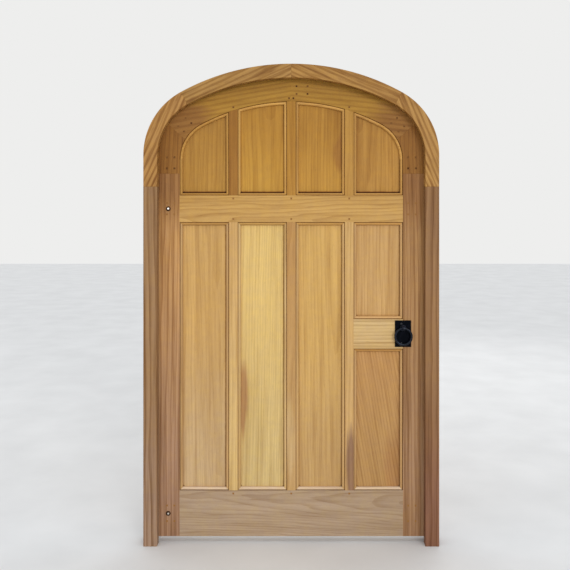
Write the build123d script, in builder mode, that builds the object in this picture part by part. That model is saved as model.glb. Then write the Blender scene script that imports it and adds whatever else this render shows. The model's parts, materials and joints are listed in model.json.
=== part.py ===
"""An arched, panelled garden gate of hardwood in its own rebated frame, with iron hinges and a ring latch.

The gate is seen from outside along +Y, with +X to the right and +Z up. The origin lies on the floor,
in the middle of the frame's width and of the whole depth, irons included. All sizes are in millimetres.
"""

from build123d import *
from collections import namedtuple
from math import atan2, cos, degrees, radians, sin, sqrt
import os

os.makedirs("parts", exist_ok=True)

# Arch of the frame, along the edge that shows in front of the leaf
sight_half = 554.0
sight_crown = 1937.0
crown_radius = 892.0
shoulder_radius = 240.0

# Section of the frame, and the clearances of the leaf in it
frame_face = 57.0
frame_depth = 95.0
stop_depth = 39.0
stop_width = 12.0
leaf_gap = 4.0
stop_gap = 1.0
floor_gap = 25.0

# Joints of the frame
jamb_joint_drop = 451.0
frame_tenon_length = 60.0
frame_tenon_width = 25.0
frame_tenon_thickness = 24.0
frame_peg_first = 18.0
frame_peg_second = 42.0

# Holes for the screws that fix the jambs to a wall
fixing_radius = 5.0
fixing_lowest = 300.0
fixing_pitch = 1000.0

# Leaf and its members
leaf_thickness = 54.0
stile_width = 95.0
head_depth = 101.0
panel_head_radius = 803.0
panel_corner_radius = 167.0
frieze_drop = 598.3
frieze_width = 112.0
bottom_rail_width = 191.5
lock_rail_drop = 87.7
lock_rail_width = 123.6
muntin_width = 36.0
columns = 4

# Rebate that the panels lie in, open to the front, and the lip behind it
rebate_depth = 34.0
lip_width = 15.0
panel_thickness = 20.0
panel_gap = 0.7

# Planted bead, mitred round each panel
bead_width = 12.5
bead_sink = 1.0
bead_fit = 0.2
quirk_width = 2.2
quirk_depth = 4.0
bead_slope = 4.0
mitre_gap = 0.2

# Joints of the leaf
front_cheek = 16.0
tenon_length = 70.0
tenon_shoulder = 10.0
stub_length = 18.0
stub_width = 24.0
joint_fit = 0.2
mortise_end_gap = 0.8
stile_joint_drop = 395.5
head_tenon_length = 84.0
head_tenon_width = 56.0
stile_tenon_width = 54.0
stile_tenon_offset = 38.0
joint_bearing = 31.6
joint_slope = 41.6
joint_tenon_offset = 16.0
crown_tenon_width = 50.0
crown_tenon_offset = 47.0

# Square pegs that lock the joints, measured to their corners
peg_radius = 5.2
peg_fit = 0.05
peg_pitch = 32.0
peg_first = 22.0
peg_second = 68.0
rail_peg_second = 53.0
frieze_peg_pitch = 47.0
bottom_peg_pitch = 65.0
stub_peg_inset = 13.0
crown_stub_peg_offset = 9.0

# Band-and-hook hinges
hinge_pin_radius = 7.0
hinge_pin_fit = 0.08
hinge_eye_radius = 12.0
hinge_setback = 14.0
hinge_width = 40.0
hinge_rest_gap = 0.3
band_length = 440.0
band_thickness = 5.0
band_tip_width = 24.0
hook_boss_half = 9.0
hook_boss_height = 24.0
hook_plate_width = 30.0
hook_plate_thickness = 5.0
hook_plate_drop = 34.0
pin_above_eye = 5.0

# Through bolts of the bands
bolt_radius = 6.0
bolt_fit = 0.1
bolt_head_radius = 10.0
bolt_head_height = 5.0
bolt_head_taper = 40
bolt_head_sides = 12
nut_across_flats = 17.0
nut_height = 8.0
bolt_end = 3.0

# Screws
screw_radius = 2.4
screw_fit = 0.1
screw_head_radius = 4.8
screw_head_height = 2.0
screw_head_sides = 6
screw_length = 16.0
screw_edge = 10.0

# Ring latch
spindle_height = 896.7
spindle_hole_radius = 9.0
spindle_hole_sides = 6
plate_width = 68.0
plate_height = 111.0
plate_thickness = 3.0
plate_drop = 24.3
plate_screw_inset = 7.0
plate_screw_edge = 14.0
collar_radius = 13.5
collar_sides = 12
collar_thickness = 5.0
collar_gap = 0.4
neck_radius = 7.5
neck_fit = 0.08
eye_reach = 14.0
eye_wall = 5.0
lug_width = 12.0
ring_radius = 34.0
ring_wire_radius = 4.7
ring_play = 1.0
ring_sides = 20
wire_sides = 8
rear_plate_width = 44.0
rear_plate_height = 84.0

# Latch bar, its guide and its catch
bar_thickness = 6.0
bar_height = 18.0
bar_gap = 3.5
bar_tail = 14.0
bar_reach = 135.0
square_side = 10.0
square_fit = 0.1
stud_radius = 4.8
latch_drop_angle = 7.0
latch_lift_angle = 20.0
guide_place = 72.0
guide_width = 18.0
guide_thickness = 4.0
guide_foot = 20.0
guide_play = 2.0
catch_place = 122.0
catch_width = 26.0
catch_plate_thickness = 2.5
catch_plate_height = 110.0
catch_arm_thickness = 5.0
catch_lip_thickness = 4.0
catch_play = 1.2

# Depths, from the front of the frame to the back of the hinges
leaf_set = stop_depth + stop_gap
overall_depth = leaf_set + leaf_thickness + hinge_setback + hinge_eye_radius
frame_front = -overall_depth / 2
frame_back = frame_front + frame_depth
leaf_front = frame_front + leaf_set
leaf_back = leaf_front + leaf_thickness
rebate_back = leaf_front + rebate_depth
panel_front = rebate_back - panel_thickness
tenon_front = leaf_front + front_cheek

# The three arches: sight line of the frame, outside of the leaf, and head of the panels
Arch = namedtuple("Arch", "half crown big small")
sight_arch = Arch(sight_half, sight_crown, crown_radius, shoulder_radius)
leaf_grow = stop_width - leaf_gap
leaf_half = sight_half + leaf_grow
leaf_crown = sight_crown + leaf_grow
panel_half = leaf_half - stile_width
panel_arch = Arch(panel_half, leaf_crown - head_depth, panel_head_radius, panel_corner_radius)

# Heights of the joints and of the leaf's members: what is up in the arch hangs from the crown,
# and the lock rail follows the latch
jamb_joint_height = sight_crown - jamb_joint_drop
stile_joint_height = sight_crown - stile_joint_drop
leaf_foot = floor_gap
bottom_rail_top = leaf_foot + bottom_rail_width
frieze_foot = sight_crown - frieze_drop
frieze_top = frieze_foot + frieze_width
lock_rail_foot = spindle_height - lock_rail_drop
lock_rail_top = lock_rail_foot + lock_rail_width
column_pitch = (2 * panel_half + muntin_width) / columns
column_width = column_pitch - muntin_width
muntin_places = [-panel_half + i * column_pitch - muntin_width / 2 for i in range(1, columns)]

# Places of the irons
hinge_axis_x = -(leaf_half + leaf_gap / 2)
hinge_axis_y = leaf_back + hinge_setback
hinge_heights = {"upper": frieze_foot + frieze_width / 2, "lower": leaf_foot + bottom_rail_width / 2}
band_back = leaf_back + band_thickness
bolt_tip = band_back + nut_height + bolt_end
bolt_place = -(panel_half + leaf_half) / 2
bolt_places = [(bolt_place, height) for height in hinge_heights.values()]
spindle_x = panel_half
spindle_place = [(spindle_x, spindle_height)]
plate_face = leaf_front - plate_thickness
plate_z = spindle_height - plate_drop
rear_plate_back = leaf_back + plate_thickness
bar_front = rear_plate_back + bar_gap
bar_back = bar_front + bar_thickness
bar_half = bar_height / 2

# Clear height in the bar's guide, from its lowest to its highest place
drop = radians(latch_drop_angle)
lift = radians(latch_lift_angle)
guide_far_edge = guide_place + guide_width / 2
guide_low = spindle_height - guide_far_edge * sin(drop) - bar_half / cos(drop) - guide_play
guide_high = spindle_height + guide_far_edge * sin(lift) + bar_half / cos(lift) + guide_play

# Places of the screws
hook_plate_edge = hinge_axis_x - hinge_eye_radius - 1
hook_foot_drop = hinge_width / 2 + hinge_rest_gap + hook_boss_height + hook_plate_drop
hook_screw_places = [
    (hook_plate_edge - hook_plate_width / 2, height + shift)
    for height in hinge_heights.values()
    for shift in (hinge_width / 2 - screw_edge, screw_edge - hook_foot_drop)
]
band_screw_places = [
    (hinge_axis_x + reach, height)
    for height in hinge_heights.values()
    for reach in (band_length * 0.4, band_length - screw_edge)
]
plate_screw_reach = plate_height / 2 - plate_screw_edge
plate_screw_places = [
    (spindle_x - plate_screw_inset, plate_z + rise) for rise in (-plate_screw_reach, plate_screw_reach)
]
rear_screw_reach = rear_plate_height / 2 - screw_edge
rear_plate_screw_places = [
    (spindle_x, spindle_height + rise) for rise in (-rear_screw_reach, rear_screw_reach)
]
guide_screw_rise = (guide_thickness + guide_foot) / 2
guide_screw_places = [
    (spindle_x + guide_place, guide_low - guide_screw_rise),
    (spindle_x + guide_place, guide_high + guide_screw_rise),
]
catch_screw_reach = catch_plate_height / 2 - screw_edge
catch_screw_places = [
    (spindle_x + catch_place, spindle_height + rise) for rise in (-catch_screw_reach, catch_screw_reach)
]


def arch_centres(arch):
    """The middle of the crown's circle, and of the right shoulder's circle."""
    shoulder_x = arch.half - arch.small
    crown_z = arch.crown - arch.big
    return crown_z, shoulder_x, crown_z + sqrt((arch.big - arch.small) ** 2 - shoulder_x**2)


def arch_height(arch, grow, x):
    """How high the arch, grown by so much all round, stands at x."""
    crown_z, shoulder_x, spring = arch_centres(arch)
    if abs(x) * (arch.big - arch.small) <= shoulder_x * (arch.big + grow):
        return crown_z + sqrt((arch.big + grow) ** 2 - x**2)
    return spring + sqrt((arch.small + grow) ** 2 - (abs(x) - shoulder_x) ** 2)


def arch_face(arch, grow, foot, mode=Mode.ADD):
    """Draws the outline of an arch with straight legs, grown by so much all round, in the open sketch."""
    crown_z, shoulder_x, spring = arch_centres(arch)
    half = arch.half + grow
    share = (arch.big + grow) / (arch.big - arch.small)
    meet_x = shoulder_x * share
    meet_z = crown_z + (spring - crown_z) * share
    with BuildLine() as path:
        Polyline((-half, spring), (-half, foot), (half, foot), (half, spring))
        TangentArc((half, spring), (meet_x, meet_z), tangent=(0, 1))
        ThreePointArc((meet_x, meet_z), (0, arch.crown + grow), (-meet_x, meet_z))
        TangentArc((-half, spring), (-meet_x, meet_z), tangent=(0, 1))
    make_face(path.edges(), mode=mode)


def outline(points, near, far, mode=Mode.ADD):
    """A flat-sided block: an outline in X and Z, from one depth to another."""
    with BuildSketch(Plane.XZ.offset(-near)) as face:
        with BuildLine():
            Polyline(*points, close=True)
        make_face()
    extrude(face.sketch, amount=near - far, mode=mode)


def board(left, right, foot, top, near, far, mode=Mode.ADD):
    """A straight board between two sides, two heights and two depths."""
    outline([(left, foot), (right, foot), (right, top), (left, top)], near, far, mode)


def tongue(x, z, angle, length, width, near, far, mode=Mode.ADD):
    """A tenon that starts at a joint and runs along an angle."""
    with BuildSketch(Plane.XZ.offset(-near)) as face:
        with Locations(Location((x, z, 0), (0, 0, angle))):
            Rectangle(length, width, align=(Align.MIN, Align.CENTER))
    extrude(face.sketch, amount=near - far, mode=mode)


def mortise(x, z, angle, length, width, near, far):
    """The slot for such a tenon, with its clearances."""
    length = length + mortise_end_gap
    tongue(x, z, angle, length, width + 2 * joint_fit, near - joint_fit, far + joint_fit, Mode.SUBTRACT)


def flat_bar(places, radius, near, far, mode=Mode.ADD, sides=4):
    """Flat-sided bars, or their holes, along Y, with a flat underside."""
    with BuildSketch(Plane.XZ.offset(-near)) as face:
        with Locations(*places):
            RegularPolygon(radius, sides, rotation=180 / sides - 90)
    extrude(face.sketch, amount=near - far, mode=mode)


def screws(places, face, tip):
    """Screws whose heads bear on one depth and whose points reach another."""
    flat_bar(places, screw_radius, face, tip)
    head_top = face + screw_head_height if face > tip else face - screw_head_height
    flat_bar(places, screw_head_radius, face, head_top, sides=screw_head_sides)


def screw_holes(places, near, far):
    """Holes for screws between two depths."""
    flat_bar(places, screw_radius + screw_fit, near, far, Mode.SUBTRACT)


def spindle_hole(near, far):
    """The hole that the latch's spindle turns in."""
    flat_bar(spindle_place, spindle_hole_radius, near, far, Mode.SUBTRACT, spindle_hole_sides)


def peg_holes(places):
    """Bores for the pegs, through the front cheek and the tenon."""
    flat_bar(places, peg_radius + peg_fit, leaf_front, rebate_back, Mode.SUBTRACT)


def save(name, piece):
    """Labels a finished piece and writes it."""
    piece.part.label = name
    export_step(piece.part, f"parts/{name}.step")


def mirrored(side, points):
    """The same points on the left or the right."""
    return [(side * x, z) for x, z in points]


def turned(x, z, angle, places):
    """Places along and across a tenon, set out from its start."""
    turn = radians(angle)
    return [(x + u * cos(turn) - v * sin(turn), z + u * sin(turn) + v * cos(turn)) for u, v in places]


sides = {"left": -1, "right": 1}

# Frame: two rebated jambs, two curved shoulders and two curved head pieces, tenoned together
frame_tenon_near = frame_front + (frame_depth - frame_tenon_thickness) / 2
frame_tenon_far = frame_tenon_near + frame_tenon_thickness
frame_tenon_out = (stop_width + frame_face) / 2
frame_crown_z, frame_shoulder_x, frame_spring = arch_centres(sight_arch)
head_joint_angle = degrees(atan2(frame_spring - frame_crown_z, frame_shoulder_x))
beyond = sight_crown + 4 * frame_face


def frame_band(cut):
    """One length of the frame's L-shaped section: the stop in front, the rebate behind it."""
    for inner, near, far in (
        (0, frame_front, frame_front + stop_depth),
        (stop_width, frame_front + stop_depth, frame_back),
    ):
        with BuildSketch(Plane.XZ.offset(-near)) as face:
            arch_face(sight_arch, frame_face, 0)
            arch_face(sight_arch, inner, 0, mode=Mode.SUBTRACT)
            with BuildLine():
                Polyline(*cut, close=True)
            make_face(mode=Mode.INTERSECT)
        extrude(face.sketch, amount=near - far)


def on_head_joint(side, radius):
    """A point on the line where a shoulder of the frame meets its head piece."""
    turn = radians(head_joint_angle)
    return (side * radius * cos(turn), frame_crown_z + radius * sin(turn))


def frame_peg_holes(places):
    """Bores for the frame's pegs, driven from behind."""
    flat_bar(places, peg_radius + peg_fit, frame_tenon_near, frame_back, Mode.SUBTRACT)


frame_joint_middle = crown_radius + frame_tenon_out
far_out = crown_radius + 4 * frame_face
level_in = (jamb_joint_height - frame_crown_z) / sin(radians(head_joint_angle))
frame_tenon = (frame_tenon_length, frame_tenon_width, frame_tenon_near, frame_tenon_far)
frame_peg_steps = [(frame_peg_first, 0), (frame_peg_second, 0)]
crown_joint = (0, sight_crown + frame_tenon_out, 0)
crown_joint_pegs = turned(*crown_joint, frame_peg_steps)
frame_peg_places = list(crown_joint_pegs)

for side_name, side in sides.items():
    jamb_joint = (side * (sight_half + frame_tenon_out), jamb_joint_height, 90)
    head_joint = (*on_head_joint(side, frame_joint_middle), 90 + side * head_joint_angle)
    jamb_pegs = turned(*jamb_joint, frame_peg_steps)
    head_pegs = turned(*head_joint, frame_peg_steps)
    frame_peg_places += jamb_pegs + head_pegs

    with BuildPart() as jamb:
        frame_band(mirrored(side, [(0, 0), (2 * sight_half, 0), (2 * sight_half, jamb_joint_height),
                                   (0, jamb_joint_height)]))
        tongue(*jamb_joint, *frame_tenon)
        frame_peg_holes(jamb_pegs)
        screw_places = hook_screw_places if side < 0 else catch_screw_places
        screw_holes(screw_places, frame_back - screw_length, frame_back)
        with BuildSketch(Plane.YZ.offset(side * sight_half)):
            with Locations((frame_front + (stop_depth + frame_depth) / 2, fixing_lowest)):
                with GridLocations(0, fixing_pitch, 1, 2, align=(Align.CENTER, Align.MIN)):
                    Circle(fixing_radius)
        extrude(amount=side * 2 * frame_face, mode=Mode.SUBTRACT)
    save(f"jamb_{side_name}", jamb)

    with BuildPart() as frame_shoulder:
        frame_band([on_head_joint(side, level_in), on_head_joint(side, far_out),
                    (side * 2 * sight_half, beyond), (side * 2 * sight_half, jamb_joint_height)])
        tongue(*head_joint, *frame_tenon)
        mortise(*jamb_joint, *frame_tenon)
        frame_peg_holes(jamb_pegs + head_pegs)
    save(f"frame_shoulder_{side_name}", frame_shoulder)

    with BuildPart() as frame_head:
        frame_band([(0, frame_crown_z), on_head_joint(side, far_out), (0, beyond)])
        mortise(*head_joint, *frame_tenon)
        if side < 0:
            tongue(*crown_joint, *frame_tenon)
        else:
            mortise(*crown_joint, *frame_tenon)
        frame_peg_holes(head_pegs + crown_joint_pegs)
    save(f"frame_head_{side_name}", frame_head)

with BuildPart() as frame_pegs:
    flat_bar(frame_peg_places, peg_radius, frame_tenon_near, frame_back)
save("frame_pegs", frame_pegs)

# Leaf: every member has a front layer, as wide as it shows, and a wider back layer,
# whose lips carry the panels
stub_ends = (stub_length, stub_width, tenon_front, rebate_back)
shoulder_pegs = [(peg_first, -peg_pitch / 2), (peg_first, peg_pitch / 2),
                 (peg_second, -peg_pitch / 2), (peg_second, peg_pitch / 2)]


def rail_pegs(side, middle, pitch):
    """Four pegs through the tenon at one end of a rail."""
    ways = [side * (panel_half + reach) for reach in (peg_first, rail_peg_second)]
    return [(x, middle + rise) for x in ways for rise in (-pitch / 2, pitch / 2)]


frieze_middle = hinge_heights["upper"]
bottom_middle = hinge_heights["lower"]
lock_middle = (lock_rail_foot + lock_rail_top) / 2
frieze_tenon = frieze_width - 2 * tenon_shoulder
bottom_tenon = bottom_rail_width - 4 * tenon_shoulder
lock_tenon = lock_rail_width - 2 * tenon_shoulder
lock_stub = lock_rail_width / 2
stile_tenon_x = panel_half + stile_tenon_offset
tenon_depths = (tenon_front, rebate_back)
stile_peg_places = turned(stile_tenon_x, stile_joint_height, 90, shoulder_pegs)

for side_name, side in sides.items():
    stile_joint = (side * stile_tenon_x, stile_joint_height, 90, head_tenon_length, stile_tenon_width)
    inner = side * panel_half
    lip_edge = inner - side * lip_width
    outward = 90 - side * 90
    with BuildPart() as stile:
        board(inner, side * leaf_half, leaf_foot, stile_joint_height, leaf_front, rebate_back)
        board(lip_edge, side * leaf_half, leaf_foot, stile_joint_height, rebate_back, leaf_back)
        tongue(*stile_joint, *tenon_depths)
        mortise(inner, frieze_middle, outward, tenon_length, frieze_tenon, *tenon_depths)
        mortise(inner, bottom_middle, outward, tenon_length, bottom_tenon, *tenon_depths)
        peg_holes(rail_pegs(side, frieze_middle, frieze_peg_pitch) + mirrored(side, stile_peg_places))
        peg_holes(rail_pegs(side, bottom_middle, bottom_peg_pitch))
        if side < 0:
            flat_bar(bolt_places, bolt_radius + bolt_fit, leaf_front, leaf_back, Mode.SUBTRACT)
        else:
            mortise(panel_half, lock_middle, 0, tenon_length, lock_tenon, *tenon_depths)
            spindle_hole(leaf_front, leaf_back)
            screw_holes(rear_plate_screw_places + guide_screw_places, leaf_back - screw_length, leaf_back)
    save("latch_stile" if side > 0 else "hinge_stile", stile)

# Slanting joint between a shoulder of the leaf and its head piece
_, corner_x, corner_z = arch_centres(sight_arch)
joint_reach = (panel_corner_radius + shoulder_radius) / 2
joint_x = corner_x + joint_reach * cos(radians(joint_bearing))
joint_z = corner_z + joint_reach * sin(radians(joint_bearing))
slant = (cos(radians(joint_slope)), sin(radians(joint_slope)))
joint_inner = (joint_x - shoulder_radius / 2 * slant[0], joint_z - shoulder_radius / 2 * slant[1])
joint_outer = (joint_x + shoulder_radius * slant[0], joint_z + shoulder_radius * slant[1])
head_tenon_x = joint_x - joint_tenon_offset * slant[0]
head_tenon_z = joint_z - joint_tenon_offset * slant[1]
head_peg_places = turned(head_tenon_x, head_tenon_z, joint_slope + 90, shoulder_pegs)
crown_tenon_z = panel_arch.crown + crown_tenon_offset
crown_peg_places = turned(0, crown_tenon_z, 0, shoulder_pegs)


def head_band(cut):
    """One length of the leaf's curved head, with the lip that carries the panels behind it."""
    for inner, near, far in ((0, leaf_front, rebate_back), (-lip_width, rebate_back, leaf_back)):
        with BuildSketch(Plane.XZ.offset(-near)) as face:
            arch_face(sight_arch, leaf_grow, leaf_foot)
            arch_face(panel_arch, inner, 0, mode=Mode.SUBTRACT)
            with BuildLine():
                Polyline(*cut, close=True)
            make_face(mode=Mode.INTERSECT)
        extrude(face.sketch, amount=near - far)


def head_stub(x):
    """Where the tenon on top of an upper muntin starts, just inside the curve above it."""
    return arch_height(panel_arch, 0, abs(x) + muntin_width / 2)


def head_stub_pegs(x):
    """Pegs of that tenon: one, or one each side of the crown joint."""
    height = arch_height(panel_arch, 0, x) + stub_peg_inset
    if x == 0:
        return [(-crown_stub_peg_offset, height), (crown_stub_peg_offset, height)]
    return [(x, height)]


for side_name, side in sides.items():
    slope = joint_slope + 90 if side > 0 else 90 - joint_slope
    tenon_start = (side * head_tenon_x, head_tenon_z)
    head_tenon = (*tenon_start, slope, head_tenon_length, head_tenon_width, *tenon_depths)

    stile_joint = (side * stile_tenon_x, stile_joint_height, 90, head_tenon_length, stile_tenon_width)
    with BuildPart() as leaf_shoulder:
        head_band(mirrored(side, [joint_inner, joint_outer, (2 * leaf_half, joint_outer[1]),
                                  (2 * leaf_half, stile_joint_height),
                                  (joint_inner[0], stile_joint_height)]))
        tongue(*head_tenon)
        mortise(*stile_joint, *tenon_depths)
        peg_holes(mirrored(side, stile_peg_places) + mirrored(side, head_peg_places))
    save(f"leaf_shoulder_{side_name}", leaf_shoulder)

    with BuildPart() as leaf_head:
        head_band(mirrored(side, [(0, joint_inner[1]), joint_inner, joint_outer,
                                  (joint_outer[0], beyond), (0, beyond)]))
        mortise(*head_tenon)
        for place in muntin_places:
            if place * side > -stub_width:
                mortise(place, head_stub(place), 90, stub_length, stub_width, *tenon_depths)
                peg_holes([spot for spot in head_stub_pegs(place) if spot[0] * side > 0])
        if side < 0:
            tongue(0, crown_tenon_z, 0, head_tenon_length, crown_tenon_width, *tenon_depths)
        else:
            mortise(0, crown_tenon_z, 0, head_tenon_length, crown_tenon_width, *tenon_depths)
        peg_holes(mirrored(side, head_peg_places) + crown_peg_places)
    save(f"leaf_head_{side_name}", leaf_head)


def rail_body(left, right, foot, top, lip_below, lip_above):
    """A rail between two uprights: front layer between their faces, back layer between their lips."""
    board(left, right, foot, top, leaf_front, rebate_back)
    board(left + lip_width, right - lip_width, foot - lip_below, top + lip_above, rebate_back, leaf_back)


def rail_tenons(middle, height):
    """Tenons at both ends of a full-width rail."""
    tongue(panel_half, middle, 0, tenon_length, height, *tenon_depths)
    tongue(-panel_half, middle, 180, tenon_length, height, *tenon_depths)


with BuildPart() as frieze_rail:
    rail_body(-panel_half, panel_half, frieze_foot, frieze_top, lip_width, lip_width)
    rail_tenons(frieze_middle, frieze_tenon)
    for place in muntin_places:
        mortise(place, frieze_top, -90, *stub_ends)
        mortise(place, frieze_foot, 90, *stub_ends)
    peg_rows = (frieze_foot + stub_peg_inset, frieze_top - stub_peg_inset)
    frieze_pegs = [(x, z) for x in muntin_places for z in peg_rows]
    for side in sides.values():
        frieze_pegs += rail_pegs(side, frieze_middle, frieze_peg_pitch)
    peg_holes(frieze_pegs)
    flat_bar(bolt_places, bolt_radius + bolt_fit, leaf_front, leaf_back, Mode.SUBTRACT)
    screw_holes(band_screw_places, leaf_back - screw_length, leaf_back)
save("frieze_rail", frieze_rail)

with BuildPart() as bottom_rail:
    rail_body(-panel_half, panel_half, leaf_foot, bottom_rail_top, 0, lip_width)
    rail_tenons(bottom_middle, bottom_tenon)
    for place in muntin_places:
        mortise(place, bottom_rail_top, -90, *stub_ends)
    bottom_pegs = [(x, bottom_rail_top - stub_peg_inset) for x in muntin_places]
    for side in sides.values():
        bottom_pegs += rail_pegs(side, bottom_middle, bottom_peg_pitch)
    peg_holes(bottom_pegs)
    flat_bar(bolt_places, bolt_radius + bolt_fit, leaf_front, leaf_back, Mode.SUBTRACT)
    screw_holes(band_screw_places, leaf_back - screw_length, leaf_back)
save("bottom_rail", bottom_rail)

last_muntin_edge = muntin_places[-1] + muntin_width / 2
with BuildPart() as lock_rail:
    rail_body(last_muntin_edge, panel_half, lock_rail_foot, lock_rail_top, lip_width, lip_width)
    tongue(panel_half, lock_middle, 0, tenon_length, lock_tenon, *tenon_depths)
    tongue(last_muntin_edge, lock_middle, 180, stub_length, lock_stub, *tenon_depths)
    spindle_hole(leaf_front, leaf_back)
    screw_holes(plate_screw_places, leaf_front, leaf_front + screw_length)
save("lock_rail", lock_rail)

# Muntins: the lower ones stand between the rails, the upper ones are scribed to the curved head
muntin_names = ("left", "centre", "right")
for name, place in zip(muntin_names, muntin_places):
    half = muntin_width / 2
    lip_half = half + lip_width

    with BuildPart() as lower_muntin:
        board(place - half, place + half, bottom_rail_top, frieze_foot, leaf_front, rebate_back)
        board(place - lip_half, place + lip_half, bottom_rail_top + lip_width, frieze_foot - lip_width,
              rebate_back, leaf_back)
        tongue(place, frieze_foot, 90, *stub_ends)
        tongue(place, bottom_rail_top, -90, *stub_ends)
        peg_holes([(place, frieze_foot + stub_peg_inset), (place, bottom_rail_top - stub_peg_inset)])
        if name == muntin_names[-1]:
            mortise(last_muntin_edge, lock_middle, 180, stub_length, lock_stub, *tenon_depths)
    save(f"lower_muntin_{name}", lower_muntin)

    with BuildPart() as upper_muntin:
        for width, foot, grow, near, far in (
            (muntin_width, frieze_top, 0, leaf_front, rebate_back),
            (2 * lip_half, frieze_top + lip_width, -lip_width, rebate_back, leaf_back),
        ):
            with BuildSketch(Plane.XZ.offset(-near)):
                with Locations((place, foot)):
                    Rectangle(width, head_depth + leaf_crown - foot, align=(Align.CENTER, Align.MIN))
                arch_face(panel_arch, grow, leaf_foot, mode=Mode.INTERSECT)
            extrude(amount=near - far)
        tongue(place, head_stub(place), 90, *stub_ends)
        tongue(place, frieze_top, -90, *stub_ends)
        peg_holes([(place, frieze_top - stub_peg_inset)] + head_stub_pegs(place))
    save(f"upper_muntin_{name}", upper_muntin)

# Panels and the beads planted round them
openings = {}
for i in range(columns):
    left = -panel_half + i * column_pitch
    right = left + column_width
    openings[f"upper_{i + 1}"] = (left, right, frieze_top, panel_arch.crown)
    if i < columns - 1:
        openings[f"lower_{i + 1}"] = (left, right, bottom_rail_top, frieze_foot)
    else:
        openings["above_lock_rail"] = (left, right, lock_rail_top, frieze_foot)
        openings["below_lock_rail"] = (left, right, bottom_rail_top, lock_rail_foot)


def opening_face(opening, inset, mode=Mode.ADD):
    """Draws a panel's opening, smaller by the inset on every side, in the open sketch."""
    left, right, foot, top = opening
    arched = top == panel_arch.crown
    with BuildSketch(Plane.XY) as face:
        with Locations(((left + right) / 2, (foot + top) / 2)):
            Rectangle(right - left - 2 * inset, top - foot - 2 * inset)
        if arched:
            arch_face(panel_arch, -inset, leaf_foot, mode=Mode.INTERSECT)
    add(face.sketch_local, mode=mode)


def mitres(opening):
    """Where the bead's lengths meet, and the angle of each cut."""
    left, right, foot, top = opening
    cuts = [(left, foot, 45), (right, foot, -45)]
    if top < panel_arch.crown:
        return cuts + [(left, top, -45), (right, top, 45)]
    _, _, spring = arch_centres(panel_arch)
    for x, inward in ((left, 1), (right, -1)):
        if abs(x) >= panel_half:
            cuts.append((x, spring, 0))
        else:
            height = arch_height(panel_arch, 0, x)
            step = arch_height(panel_arch, 0, x + inward) - height
            slope = degrees(atan2(step, 1))
            cuts.append((x, height, inward * (slope - 90) / 2))
    return cuts


bead_top = leaf_front + bead_sink
for name, opening in openings.items():
    with BuildPart() as panel:
        with BuildSketch(Plane.XZ.offset(-panel_front)):
            opening_face(opening, panel_gap)
        extrude(amount=panel_front - rebate_back)
    save(f"panel_{name}", panel)

    with BuildPart() as bead:
        with BuildSketch(Plane.XZ.offset(-bead_top)):
            opening_face(opening, quirk_width)
            opening_face(opening, bead_width, mode=Mode.SUBTRACT)
        extrude(amount=bead_top - panel_front)
        inner_edges = bead.faces().sort_by(Axis.Y)[0].inner_wires()[0].edges()
        chamfer(inner_edges, length=bead_slope)
        with BuildSketch(Plane.XZ.offset(-(bead_top + quirk_depth))):
            opening_face(opening, bead_fit)
            opening_face(opening, quirk_width + mitre_gap, mode=Mode.SUBTRACT)
        extrude(amount=bead_top + quirk_depth - panel_front)
        for x, z, angle in mitres(opening):
            with BuildSketch(Plane.XZ.offset(-leaf_front)):
                with Locations(Location((x, z, 0), (0, 0, angle))):
                    Rectangle(4 * bead_width, mitre_gap)
            extrude(amount=leaf_front - panel_front, mode=Mode.SUBTRACT)
    save(f"bead_{name}", bead)

# Pegs, one group of like pieces
all_pegs = frieze_pegs + bottom_pegs + crown_peg_places
for side in sides.values():
    all_pegs += mirrored(side, stile_peg_places + head_peg_places)
for place in muntin_places:
    all_pegs += head_stub_pegs(place)
with BuildPart() as leaf_pegs:
    flat_bar(all_pegs, peg_radius, leaf_front, rebate_back)
save("leaf_pegs", leaf_pegs)


def eye_hinge(height):
    """Outline of a band's rolled eye and root, seen from above."""
    root = hinge_axis_x + 3 * hinge_eye_radius
    with BuildSketch(Plane.XY.offset(height - hinge_width / 2)) as face:
        with Locations((hinge_axis_x, hinge_axis_y)):
            Circle(hinge_eye_radius)
        with BuildLine():
            Polyline((hinge_axis_x, hinge_axis_y - hinge_eye_radius),
                     (hinge_axis_x + hinge_eye_radius, leaf_back), (root, leaf_back), (root, band_back),
                     (hinge_axis_x + hinge_eye_radius, hinge_axis_y), close=True)
        make_face()
        with Locations((hinge_axis_x, hinge_axis_y)):
            Circle(hinge_pin_radius + hinge_pin_fit, mode=Mode.SUBTRACT)
    extrude(face.sketch, amount=hinge_width)


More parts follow.
